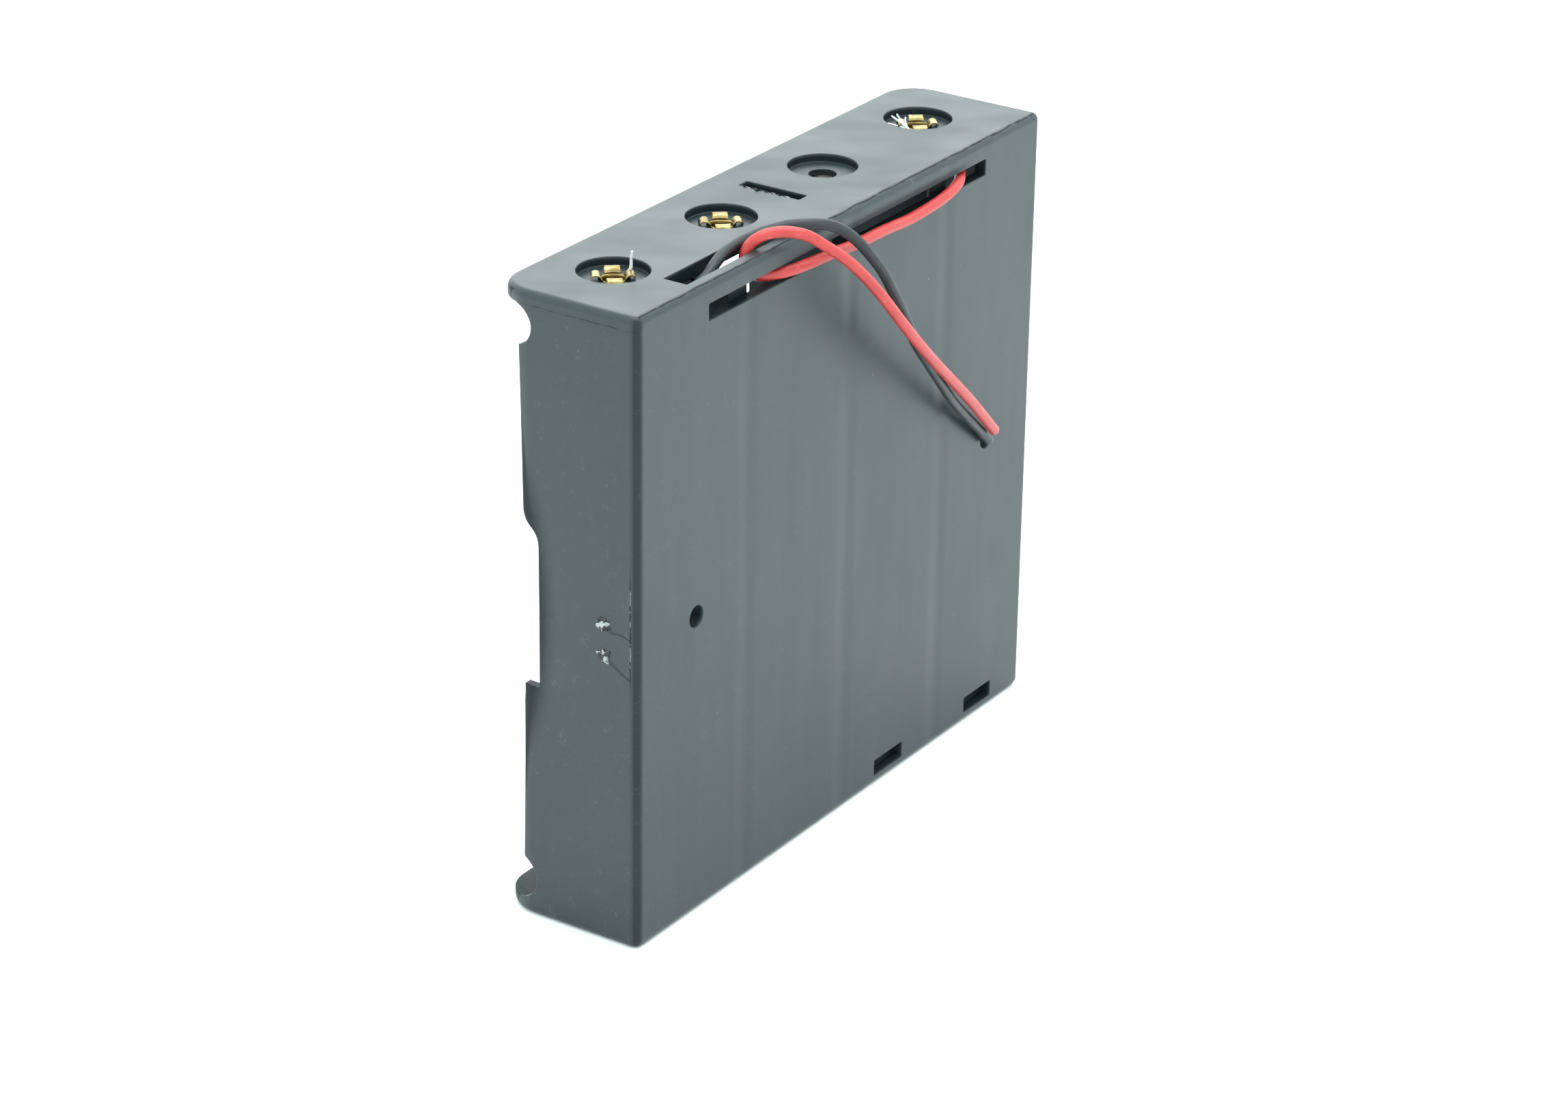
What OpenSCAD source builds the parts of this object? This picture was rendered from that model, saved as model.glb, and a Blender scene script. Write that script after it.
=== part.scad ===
// Open holder for four cylindrical cells side by side, wired in series, with a red and a
// black lead. Millimetres. The origin is the middle of the bottom end wall's outer face.
// X runs across the cells, +Y points out of the closed mounting back, and Z runs along the
// cells. Cell 1 is at +X. The leads come out at the top end.

/* [Cells] */

// Distance between the centre lines of neighbouring cells.
cell_pitch = 20.7; // [20.3:0.1:22]
// Width of the bay that one cell lies in.
bay_width = 18.8; // [18.4:0.1:19]
// Length of the bay between the two end walls.
bay_length = 72.6; // [70:0.1:76]

/* [Housing] */

// Depth from the open front to the mounting back.
housing_depth = 19.5; // [19:0.1:22]
// Thickness of the two outer side walls.
side_wall = 1.2; // [1:0.1:2]
// Thickness of the wall at each end of the cells.
end_wall = 1.7; // [1.5:0.1:2]
// Thickness of the mounting back.
back_wall = 1.5; // [1.2:0.1:2]
// Distance between the two screw holes in the back.
screw_spacing = 61.8; // [58:0.1:63]
// Radius of the screw holes.
screw_hole_r = 1.3; // [1:0.05:1.6]

/* [Contacts] */

// Free height of the contact springs.
spring_height = 9.5; // [8:0.1:10]
// Radius of the spring wire.
spring_wire_r = 0.35; // [0.3:0.01:0.4]
// Thickness of the contact plates.
plate_t = 0.3; // [0.2:0.05:0.4]
// Inside radius of the hollow eyelets.
eyelet_bore_r = 1.31; // [1:0.01:1.35]

/* [Leads] */

// Radius of a lead over its insulation.
lead_r = 0.65; // [0.5:0.05:0.7]

/* [Hidden] */

$fn = 64;
cut = 1;              // how far a cutting shape runs past the surface it opens

housing_w = 3 * cell_pitch + bay_width + 2 * side_wall;
housing_h = bay_length + 2 * end_wall;
back_y = housing_depth / 2;
front_y = -housing_depth / 2;
bay_floor_y = back_y - back_wall;
bay_top_z = housing_h - end_wall;
half_partition = (cell_pitch - bay_width) / 2;
cell_y = -1;          // the cells' centre lines lie a little in front of the middle

front_corner_r = 4.8;
back_corner_r = 1;
bay_fillet_r = 1;

side_wall_front_y = -6.3;
side_finger_y = -4.1;
partition_front_y = -3.5;
partition_finger_y = 1.2;

pocket_r = 4.1;       // round pocket that sinks each eyelet below the end face
pocket_depth = 1;
terminal_hole_r = 1.6;
bridge_slot_w = 1.7;  // opening in the end wall over a bridge plate
bridge_slot_h = 8.2;
bridge_gap = 1;       // room for the bridge plate over the end of a partition

wire_slot_x = [9, 30];
wire_slot_y = [4.9, 7.95];
wire_slot_z = 72.25;   // the slot also takes the top off the partition under it
back_slot_x = [-29.1, 28.3];
back_slot_z = [71.65, 73.6];
back_window_x = [-34.5, -13.85];
back_window_w = 6.2;
back_window_z = [1.15, 3.2];
screw_hole_z = 37.2;
screw_middle_x = -0.5; // the two holes are not quite centred

plate_w = 12;
plate_h = 10;
bridge_neck_h = 7.6;

spring_base_r = 4.1;
spring_tip_r = 2.9;
spring_turns = 4.5;
flat_turns = 0.6;     // the first part of the wire lies flat on the plate
drop_in_turns = 0.2;  // the last part runs down to the contact coil
coil_clearance = 0.1;

eyelet_wall = 0.25;
flange_r = 2.5;
petal_turn = 40;
petal_w = 1.9;
petal_r = 0.62;
petal_gap = 0.1;      // height of the petals' centre over the pocket's floor

strand_r = 0.2;
strand_z = housing_h - pocket_depth - 0.47;   // strands lie between end wall and plate
black_strand_x = 29.45;
red_strand_x = -29.3;

// The red lead leaves bay 4 by the slot in the back, runs along the back, enters the slot
// again, loops over the rail and hangs down. The black one comes up out of bay 1.
black_route = [
    [30.2, 5.5, 73.4], [28.8, 5.8, 73.5], [27.1, 6.1, 73.7], [25.4, 6.3, 74.2], [23.8, 6.3, 74.7],
    [22.7, 6.2, 75.2], [21.4, 6, 75.6], [19.8, 5.8, 76], [18.1, 5.7, 76.2], [16.3, 5.7, 76.3],
    [14.2, 6, 76.4], [12.8, 6.4, 76.5], [11.6, 7, 76.6], [10.4, 7.9, 76.8], [9, 9.1, 76.8],
    [7.4, 10.2, 76.6], [5.8, 11.1, 76], [4.6, 12, 75.1], [3.6, 12.9, 73.9], [2.5, 13.6, 72.4],
    [0.4, 14.2, 69.7], [-1.3, 14.5, 67], [-4.1, 14.5, 62.9], [-7, 14.2, 58.8], [-10.5, 13.7, 55.2],
    [-14.8, 13, 51], [-19.3, 12.2, 46.8], [-24, 11.4, 43], [-28.6, 10.7, 39.3], [-31, 10.4, 37.2]
];
red_route = [
    [-29.6, 5.8, 72.9], [-28, 6.5, 72.8], [-25.7, 8.3, 72.6], [-22.3, 10, 72.5],
    [-18.5, 10.4, 72], [-14.8, 10.4, 71.7], [-10.9, 10.4, 71.6], [-5.6, 10.4, 71.9],
    [-0.3, 10.4, 72], [4.6, 10.4, 72.4], [9.3, 10.3, 72.6], [12.5, 9.8, 72.6],
    [15, 8.5, 72.5], [16.4, 7.7, 72.8], [17.3, 7.2, 73.7], [17.6, 7, 74.9], [17.2, 7.2, 76.2],
    [16.3, 7.9, 77.1], [15.1, 8.8, 77.5], [13.8, 10.3, 77.6], [12.3, 11.9, 77],
    [10.8, 13.1, 75.7], [8.4, 14.2, 73.7], [5.6, 15.1, 70.9], [2.6, 15.8, 67.5],
    [-0.2, 16.1, 64.3], [-4.4, 15.9, 60.2], [-9.8, 15.3, 55.5], [-16, 14.3, 50.6],
    [-21.5, 13.4, 46.2], [-26.3, 12.5, 42.2], [-29.9, 11.8, 39.2]
];

// The bare strands leave the end of the insulation, lie in a groove under the end wall and
// come out beside the eyelet, where its petals hold them.
black_strand_route = [
    [30.2, 5.5, 73.4], [30.8, 5.1, 73.7], [30.6, 4.6, 74], [29.9, 4.4, 74.1],
    [black_strand_x, 3.9, 74.4], [black_strand_x, 3.2, strand_z], [black_strand_x, 0.3, strand_z],
    [29.4, -0.3, 74.8], [29.2, -0.3, 75.3], [29.3, 0.1, 76], [29.4, 0.2, 77], [29.5, 0.4, 78]
];
red_strand_route = [
    [-29.6, 5.8, 72.9], [-30.3, 5.4, 73.2], [-30.2, 4.7, 73.8], [-29.7, 4.4, 74.1],
    [red_strand_x, 3.9, 74.4], [red_strand_x, 3.2, strand_z], [red_strand_x, -0.7, strand_z],
    [-29.2, -1.1, 74.9], [-29, -1.2, 75.2]
];
red_strand_tips = [
    [[-29.3, -2.5, 75.7], [-29.8, -3.9, 76]],
    [[-29.2, -2.2, 75.9], [-29.7, -3.1, 76.4]],
    [[-29.1, -1.5, 75.8], [-29.2, -1.6, 76.5]],
    [[-29.1, -2.6, 75.2], [-29.3, -4.1, 75.2]]
];

// ---- helpers ----

function cell_x(cell) = (2.5 - cell) * cell_pitch;

function unit(v) = v / norm(v);

// Part of v that stands at right angles to the direction d.
function across(v, d) = unit(v - (v * d) * d);

function direction_at(route, i) =
    unit(route[min(i + 1, len(route) - 1)] - route[max(i - 1, 0)]);

// One sideways vector for each point of a route, turned as little as possible on the way.
function sideways(route) = [
    for (i = 0, s = across([0.3, 0.5, 0.8], direction_at(route, 0));
         i < len(route);
         i = i + 1, s = across(s, direction_at(route, min(i, len(route) - 1))))
    s
];

// Point between b and c on the smooth curve through a, b, c and d.
function curve_point(a, b, c, d, t) =
    b + (c - a) * t / 2
    + (2 * a - 5 * b + 4 * c - d) * t * t / 2
    + (3 * b - a - 3 * c + d) * t * t * t / 2;

function smooth_route(route, steps = 2) = concat(
    [for (i = [0:len(route) - 2], k = [0:steps - 1])
        curve_point(route[max(i - 1, 0)], route[i], route[i + 1],
                    route[min(i + 2, len(route) - 1)], k / steps)],
    [route[len(route) - 1]]
);

// Round solid that follows a route; its last ring is tip times as thick.
module tube(route, r, sides = 8, tip = 1) {
    side = sideways(route);
    last = len(route) - 1;
    points = [
        for (i = [0:last], k = [0:sides - 1])
        let (other = cross(direction_at(route, i), side[i]), ring_r = i == last ? r * tip : r)
        route[i] + ring_r * (cos(360 * k / sides) * side[i] + sin(360 * k / sides) * other)
    ];
    walls = [
        for (i = [0:last - 1], k = [0:sides - 1], half = [0, 1])
        let (a = i * sides + k, b = i * sides + (k + 1) % sides)
        half == 0 ? [a, a + sides, b] : [b, a + sides, b + sides]
    ];
    start_cap = [for (k = [1:sides - 2]) [0, k, k + 1]];
    end_cap = [for (k = [1:sides - 2]) [last * sides, last * sides + k + 1, last * sides + k]];
    polyhedron(points, concat(walls, start_cap, end_cap));
}

// Extrudes a flat shape drawn in the Y-Z plane along X.
module along_x(x0, x1) {
    translate([x0, 0, 0]) rotate([90, 0, 90]) linear_extrude(x1 - x0) children();
}

module box(x, y, z) {
    translate([x[0], y[0], z[0]]) cube([x[1] - x[0], y[1] - y[0], z[1] - z[0]]);
}

// Places children on the centre line of a cell, with z = 0 on the outer face of an end wall
// and +Z pointing out of the holder.
module at_end(cell, end) {
    z = end == "top" ? housing_h : 0;
    translate([cell_x(cell), cell_y, z]) rotate([end == "top" ? 0 : 180, 0, 0]) children();
}

// ---- housing ----

module outline() {
    w = housing_w;
    d = housing_depth;
    translate([-w / 2, front_y + front_corner_r]) square([w, d - front_corner_r - back_corner_r]);
    translate([-w / 2 + front_corner_r, front_y]) square([w - 2 * front_corner_r, d / 2]);
    translate([-w / 2 + back_corner_r, 0]) square([w - 2 * back_corner_r, d / 2]);
    for (s = [-1, 1]) {
        translate([s * (w / 2 - front_corner_r), front_y + front_corner_r]) circle(front_corner_r);
        translate([s * (w / 2 - back_corner_r), back_y - back_corner_r]) circle(back_corner_r);
    }
}

module bay() {
    w = bay_width;
    r = bay_fillet_r;
    translate([0, 0, end_wall]) linear_extrude(bay_length) {
        translate([-w / 2, front_y - cut]) square([w, bay_floor_y - r - front_y + cut]);
        translate([-w / 2 + r, 0]) square([w - 2 * r, bay_floor_y]);
        for (s = [-1, 1]) translate([s * (w / 2 - r), bay_floor_y - r]) circle(r);
    }
}

// Points of an S that leaves the edge at y0, z0 and joins the edge at y1, z1, both upright.
function s_bend(y0, z0, y1, z1, steps = 6) =
    let (half = 2 * atan(abs(y1 - y0) / abs(z1 - z0)), r = abs(z1 - z0) / (2 * sin(half)),
         sy = sign(y1 - y0), sz = sign(z1 - z0))
    concat(
        [for (i = [0:steps]) let (a = half * i / steps)
            [y0 + sy * r * (1 - cos(a)), z0 + sz * r * sin(a)]],
        [for (i = [steps - 1:-1:0]) let (a = half * i / steps)
            [y1 - sy * r * (1 - cos(a)), z1 - sz * r * sin(a)]]
    );

// The outer side walls stop short of the lips, with a round notch under each lip and a
// recess for the fingers: a step at its lower end and an S at its upper end.
module side_wall_cutaway() {
    bend = s_bend(side_finger_y, 46, side_wall_front_y, 50.2);
    along_x(-housing_w / 2 - cut, housing_w / 2 + cut) {
        polygon(concat(
            [[front_y - cut, end_wall], [side_wall_front_y, end_wall],
             [side_wall_front_y, 28.7], [side_finger_y, 28.7]],
            bend,
            [[side_wall_front_y, bay_top_z], [front_y - cut, bay_top_z]]
        ));
        translate([-7.1, end_wall + 2.7]) circle(2.7);
        translate([-6.9, bay_top_z - 2.45]) circle(2.45);
    }
}

// The partitions are lower still, with a deeper recess between two S bends.
module partition_cutaway() {
    lower = s_bend(partition_front_y, 27, partition_finger_y, 33);
    upper = s_bend(partition_finger_y, 43, partition_front_y, 49);
    half_w = housing_w / 2 - side_wall;
    along_x(-half_w, half_w) polygon(concat(
        [[front_y - cut, end_wall], [partition_front_y, end_wall]],
        lower,
        upper,
        [[partition_front_y, bay_top_z], [front_y - cut, bay_top_z]]
    ));
}

module terminal_pocket() {
    translate([0, 0, -pocket_depth]) cylinder(r = pocket_r, h = pocket_depth + cut);
    translate([0, 0, -end_wall - cut]) cylinder(r = terminal_hole_r, h = end_wall + cut);
}

// Slot in an end wall between two cells, and the gap under it for the bridge plate.
module bridge_slot(cell, end) {
    half_h = bridge_slot_h / 2;
    at_end(cell + 0.5, end) {
        box([-bridge_slot_w / 2, bridge_slot_w / 2], [-half_h, half_h], [-end_wall - cut, cut]);
        box([-half_partition - cut, half_partition + cut], [-half_h, half_h],
            [-end_wall - bridge_gap, -end_wall]);
    }
}

module wire_openings() {
    box(wire_slot_x, wire_slot_y, [wire_slot_z, housing_h + cut]);
    box(back_slot_x, [bay_floor_y - 0.01, back_y + cut], back_slot_z);
}

module strand_grooves() {
    groove = [bay_top_z - cut, bay_top_z + 0.45];
    for (x = [black_strand_x, red_strand_x]) box([x - 0.3, x + 0.3], [-1.3, 4.9], groove);
    translate([black_strand_x, -0.4, bay_top_z]) cylinder(r = 0.3, h = pocket_depth);
    translate([red_strand_x, -1.1, bay_top_z]) cylinder(r = 0.3, h = pocket_depth);
}

module back_openings() {
    for (s = [-1, 1]) translate([screw_middle_x + s * screw_spacing / 2, 0, screw_hole_z])
        rotate([-90, 0, 0]) cylinder(r = screw_hole_r, h = back_y + cut);
    for (x = back_window_x)
        box([x, x + back_window_w], [bay_floor_y - 0.01, back_y + cut], back_window_z);
}

// Raised signs on the floor of each bay show which way round its cell goes.
module polarity_marks() {
    for (cell = [1:4]) {
        plus_z = cell % 2 == 1 ? 12 : housing_h - 12;
        minus_z = housing_h - plus_z;
        floor_y = [bay_floor_y - 0.3, bay_floor_y + 0.2];
        x = cell_x(cell);
        box([x - 2.5, x + 2.5], floor_y, [plus_z - 0.5, plus_z + 0.5]);
        box([x - 0.5, x + 0.5], floor_y, [plus_z - 2.5, plus_z + 2.5]);
        box([x - 2.5, x + 2.5], floor_y, [minus_z - 0.5, minus_z + 0.5]);
    }
}

module housing() {
    color("#2b2d30") {
        difference() {
            linear_extrude(housing_h) outline();
            for (cell = [1:4]) translate([cell_x(cell), 0, 0]) bay();
            side_wall_cutaway();
            partition_cutaway();
            for (cell = [1:4], end = ["top", "bottom"]) at_end(cell, end) terminal_pocket();
            bridge_slot(2, "top");
            bridge_slot(1, "bottom");
            bridge_slot(3, "bottom");
            wire_openings();
            strand_grooves();
            back_openings();
        }
        polarity_marks();
    }
}

// ---- contacts, drawn with z = 0 on the outer face of the end wall ----

// Two hooks bent down from a plate hold the first turn of its spring.
module spring_claws() {
    for (a = [60, 180]) rotate([0, 0, a]) {
        box([4.6, 4.9], [-0.8, 0.8], [-end_wall - plate_t - 1, -end_wall - plate_t]);
        box([4, 4.9], [-0.8, 0.8], [-end_wall - plate_t - 1, -end_wall - plate_t - 0.8]);
    }
}

module plate_blank(w, h) {
    translate([-w / 2, -h / 2, -end_wall - plate_t]) cube([w, h, plate_t]);
}

module plate_hole(r) {
    translate([0, 0, -end_wall - plate_t - cut]) cylinder(r = r, h = plate_t + 2 * cut);
}

module terminal_plate(cell, has_spring) {
    color("#c9c7bf") at_end(cell, "top") {
        difference() {
            plate_blank(plate_w, plate_h);
            plate_hole(terminal_hole_r);
        }
        if (has_spring) spring_claws();
    }
}

// A bridge joins the flat contact of one cell to the spring contact of the next one.
module bridge_plate(flat_cell, spring_cell, end) {
    color("#c9c7bf") {
        difference() {
            union() {
                at_end(flat_cell, end) plate_blank(plate_w, plate_h);
                at_end(spring_cell, end) plate_blank(plate_w, plate_h);
                at_end((flat_cell + spring_cell) / 2, end) plate_blank(cell_pitch, bridge_neck_h);
            }
            at_end(flat_cell, end) plate_hole(terminal_hole_r);
        }
        at_end(spring_cell, end) spring_claws();
    }
}

// Side view of one petal: it leaves the barrel upwards, rolls outwards and ends in the air.
module petal_profile() {
    centre_r = eyelet_bore_r + petal_r;
    difference() {
        translate([centre_r, 0]) circle(petal_r);
        translate([centre_r, 0]) circle(petal_r - eyelet_wall);
        translate([0, -2]) square([4, 2]);
        translate([centre_r, 0]) polygon([[0, 0], [2, 0], [2, 1]]);
    }
}

module eyelet(cell, end) {
    barrel_r = eyelet_bore_r + eyelet_wall;
    flange_z = -end_wall - plate_t - eyelet_wall;
    petal_z = -pocket_depth + petal_gap;
    color("#c8a24a") at_end(cell, end) {
        difference() {
            union() {
                translate([0, 0, flange_z]) cylinder(r = barrel_r, h = petal_z + 0.1 - flange_z);
                translate([0, 0, flange_z]) cylinder(r = flange_r, h = eyelet_wall);
            }
            translate([0, 0, flange_z - cut]) cylinder(r = eyelet_bore_r, h = end_wall + 3 * cut);
        }
        for (k = [0:3]) rotate([0, 0, petal_turn + 90 * k]) translate([0, petal_w / 2, petal_z])
            rotate([90, 0, 0]) linear_extrude(petal_w) petal_profile();
    }
}

// ---- springs ----

// How far the wire's centre has come down from the plate after some turns.
function coil_drop(turn) =
    let (end_drop = spring_height - spring_wire_r,
         clear_drop = end_drop - 2 * spring_wire_r - coil_clearance,
         clear_turn = spring_turns - drop_in_turns)
    turn < flat_turns ? spring_wire_r
    : turn < clear_turn
        ? spring_wire_r + (clear_drop - spring_wire_r) * (turn - flat_turns) / (clear_turn - flat_turns)
        : clear_drop + (end_drop - clear_drop) * (turn - clear_turn) / drop_in_turns;

function coil_point(turn) =
    let (r = spring_base_r + (spring_tip_r - spring_base_r) * turn / spring_turns)
    [r * cos(360 * turn), r * sin(360 * turn), -coil_drop(turn)];

module spring(cell, end) {
    color("#b9b9b4") at_end(cell, end) translate([0, 0, -end_wall - plate_t])
        tube([for (i = [0:80]) coil_point(spring_turns * i / 80)], spring_wire_r, 6);
}

// The open contact coil starts where the conical part of the wire ends.
module spring_end(cell, end) {
    color("#b9b9b4") at_end(cell, end)
        translate([0, 0, -end_wall - plate_t - spring_height + spring_wire_r])
        rotate([0, 0, 360 * spring_turns]) rotate_extrude(angle = 360 * (1 - drop_in_turns))
        translate([spring_tip_r, 0]) circle(spring_wire_r);
}

// ---- leads ----

module black_lead() {
    color("#1d1e20") tube(smooth_route(black_route), lead_r);
}

module red_lead() {
    color("#c8231c") tube(smooth_route(red_route), lead_r);
}

module black_lead_bare_strands() {
    color("#d8d6cf") tube(smooth_route(black_strand_route), strand_r, 8, 0.6);
}

module red_lead_bare_strands() {
    fan_start = red_strand_route[len(red_strand_route) - 1];
    color("#d8d6cf") {
        tube(smooth_route(red_strand_route), strand_r);
        for (tip = red_strand_tips)
            tube(smooth_route(concat([fan_start], tip)), 0.75 * strand_r, 8, 0.6);
    }
}

housing();
terminal_plate(1, true);  // negative_terminal_plate
terminal_plate(4, false);  // positive_terminal_plate
bridge_plate(2, 3, "top");  // top_bridge_plate
bridge_plate(1, 2, "bottom");  // bottom_bridge_plate_1_2
bridge_plate(3, 4, "bottom");  // bottom_bridge_plate_3_4
eyelet(1, "top");  // negative_terminal_eyelet
eyelet(4, "top");  // positive_terminal_eyelet
eyelet(2, "top");  // top_bridge_eyelet
eyelet(1, "bottom");  // bottom_bridge_eyelet_1_2
eyelet(3, "bottom");  // bottom_bridge_eyelet_3_4
spring(1, "top");  // cell_1_spring
spring(2, "bottom");  // cell_2_spring
spring(3, "top");  // cell_3_spring
spring(4, "bottom");  // cell_4_spring
spring_end(1, "top");  // cell_1_spring_end
spring_end(2, "bottom");  // cell_2_spring_end
spring_end(3, "top");  // cell_3_spring_end
spring_end(4, "bottom");  // cell_4_spring_end
black_lead();
red_lead();
black_lead_bare_strands();
red_lead_bare_strands();
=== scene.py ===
"""Empty holder for four cylindrical cells, standing on its plain end, seen from behind."""

import math
import random

import bmesh
import bpy
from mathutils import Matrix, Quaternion, Vector, noise


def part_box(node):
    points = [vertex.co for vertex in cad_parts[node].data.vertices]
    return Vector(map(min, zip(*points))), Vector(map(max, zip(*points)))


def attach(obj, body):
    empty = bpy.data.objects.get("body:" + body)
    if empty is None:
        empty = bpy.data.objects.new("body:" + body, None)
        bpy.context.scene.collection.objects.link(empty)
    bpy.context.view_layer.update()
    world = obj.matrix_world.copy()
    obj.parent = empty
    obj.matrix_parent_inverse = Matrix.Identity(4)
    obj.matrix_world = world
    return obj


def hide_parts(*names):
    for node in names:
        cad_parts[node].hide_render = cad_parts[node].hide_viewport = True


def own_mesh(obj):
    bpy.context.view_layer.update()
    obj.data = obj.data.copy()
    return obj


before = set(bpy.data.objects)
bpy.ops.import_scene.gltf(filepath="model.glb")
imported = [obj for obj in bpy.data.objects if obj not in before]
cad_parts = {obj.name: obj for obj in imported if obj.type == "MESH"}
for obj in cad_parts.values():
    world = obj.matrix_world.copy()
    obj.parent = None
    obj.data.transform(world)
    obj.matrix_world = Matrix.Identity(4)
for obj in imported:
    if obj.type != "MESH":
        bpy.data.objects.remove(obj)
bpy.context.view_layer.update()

MM = 0.001

# ---- sizes taken from the frame ----

housing_low, housing_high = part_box("housing")
WIDTH = housing_high.x - housing_low.x
DEPTH = housing_high.y - housing_low.y
HEIGHT = housing_high.z
BACK_Y = housing_high.y


def middle(node):
    low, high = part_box(node)
    return (low + high) / 2


CELLS = (1, 2, 3, 4)
CELL_X = [middle(f"cell_{cell}_spring_end").x for cell in CELLS]
CELL_Y = middle("top_bridge_eyelet").y
PITCH = CELL_X[0] - CELL_X[1]
PLATES = ("negative_terminal_plate", "positive_terminal_plate", "top_bridge_plate",
          "bottom_bridge_plate_1_2", "bottom_bridge_plate_3_4")
EYELETS = ("negative_terminal_eyelet", "positive_terminal_eyelet", "top_bridge_eyelet",
           "bottom_bridge_eyelet_1_2", "bottom_bridge_eyelet_3_4")

# The housing's own thicknesses and radii, as in the CAD.
END_WALL = 1.7 * MM
SIDE_WALL = 1.2 * MM
BACK_WALL = 1.5 * MM
FRONT_CORNER_R = 4.8 * MM
BACK_CORNER_R = 1 * MM
POCKET_R = 4.1 * MM
TERMINAL_HOLE_R = 1.6 * MM
BAY_FLOOR_Y = BACK_Y - BACK_WALL

# ---- routes of the leads, in metres ----

LEAD_DIAMETER = 1.3 * MM
STRAND_R = 0.25 * MM
LOOSE_STRAND_R = 0.15 * MM

# Each starts inside the top end.
BLACK_ROUTE = [
    (0.0302, 0.0055, 0.0734), (0.0288, 0.0058, 0.0735), (0.0271, 0.0061, 0.0737),
    (0.0254, 0.0063, 0.0742), (0.0238, 0.0063, 0.0747), (0.0227, 0.0062, 0.0752),
    (0.0214, 0.006, 0.0756), (0.0198, 0.0058, 0.076), (0.0181, 0.0057, 0.0762),
    (0.0163, 0.0057, 0.0763), (0.0142, 0.006, 0.0764), (0.0128, 0.0064, 0.0765),
    (0.0116, 0.007, 0.0766), (0.0104, 0.0079, 0.0768), (0.009, 0.0091, 0.0768),
    (0.0074, 0.0102, 0.0766), (0.0058, 0.0111, 0.076), (0.0046, 0.012, 0.0751),
    (0.0036, 0.0129, 0.0739), (0.0025, 0.0136, 0.0724), (0.0004, 0.0142, 0.0697),
    (-0.0013, 0.0145, 0.067), (-0.0041, 0.0145, 0.0629), (-0.007, 0.0142, 0.0588),
    (-0.0105, 0.0137, 0.0552), (-0.0148, 0.013, 0.051), (-0.0193, 0.0122, 0.0468),
    (-0.024, 0.0114, 0.043), (-0.0286, 0.0107, 0.0393), (-0.031, 0.0104, 0.0372),
]
RED_ROUTE = [
    (-0.0296, 0.0058, 0.0729), (-0.028, 0.0065, 0.0728), (-0.0257, 0.0083, 0.0726),
    (-0.0223, 0.01, 0.0725), (-0.0185, 0.0104, 0.072), (-0.0148, 0.0104, 0.0717),
    (-0.0109, 0.0104, 0.0716), (-0.0056, 0.0104, 0.0719), (-0.0003, 0.0104, 0.072),
    (0.0046, 0.0104, 0.0724), (0.0093, 0.0103, 0.0726), (0.0125, 0.0098, 0.0726),
    (0.015, 0.0085, 0.0725), (0.0164, 0.0077, 0.0728), (0.0173, 0.0072, 0.0737),
    (0.0176, 0.007, 0.0749), (0.0172, 0.0072, 0.0762), (0.0163, 0.0079, 0.0771),
    (0.0151, 0.0088, 0.0775), (0.0138, 0.0103, 0.0776), (0.0123, 0.0119, 0.077),
    (0.0108, 0.0131, 0.0757), (0.0084, 0.0142, 0.0737), (0.0056, 0.0151, 0.0709),
    (0.0026, 0.0158, 0.0675), (-0.0002, 0.0161, 0.0643), (-0.0044, 0.0159, 0.0602),
    (-0.0098, 0.0153, 0.0555), (-0.016, 0.0143, 0.0506), (-0.0215, 0.0134, 0.0462),
    (-0.0263, 0.0125, 0.0422), (-0.0299, 0.0118, 0.0392),
]
BLACK_STRAND_ROUTE = [
    (0.0302, 0.0055, 0.0734), (0.0308, 0.0051, 0.0737), (0.0306, 0.0046, 0.074),
    (0.0299, 0.0044, 0.0741), (0.02945, 0.0039, 0.0744), (0.02945, 0.0032, 0.07453),
    (0.02945, 0.0003, 0.07453), (0.0294, -0.0003, 0.0748), (0.0292, -0.0003, 0.0753),
    (0.0293, 0.0001, 0.076), (0.0294, 0.0002, 0.077), (0.0295, 0.0004, 0.078),
]
RED_STRAND_ROUTE = [
    (-0.0296, 0.0058, 0.0729), (-0.0303, 0.0054, 0.0732), (-0.0302, 0.0047, 0.0738),
    (-0.0297, 0.0044, 0.0741), (-0.0293, 0.0039, 0.0744), (-0.0293, 0.0032, 0.07453),
    (-0.0293, -0.0007, 0.07453), (-0.0292, -0.0011, 0.0749), (-0.029, -0.0012, 0.0752),
]
RED_STRAND_TIPS = [
    [(-0.0293, -0.0025, 0.0757), (-0.0298, -0.0039, 0.076)],
    [(-0.0292, -0.0022, 0.0759), (-0.0297, -0.0031, 0.0764)],
    [(-0.0291, -0.0015, 0.0758), (-0.0292, -0.0016, 0.0765)],
    [(-0.0291, -0.0026, 0.0752), (-0.0293, -0.0041, 0.0752)],
]

# ---- camera and light ----

CAMERA_AZIMUTH = math.radians(123.226)
CAMERA_ELEVATION = math.radians(24.55)
CAMERA_ROLL = math.radians(0.879)
CAMERA_AIM = Vector((1.48, 2.24, 32.6)) * MM
CAMERA_DISTANCE = 513.85 * MM
CAMERA_LENS_MM = 100.9


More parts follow.
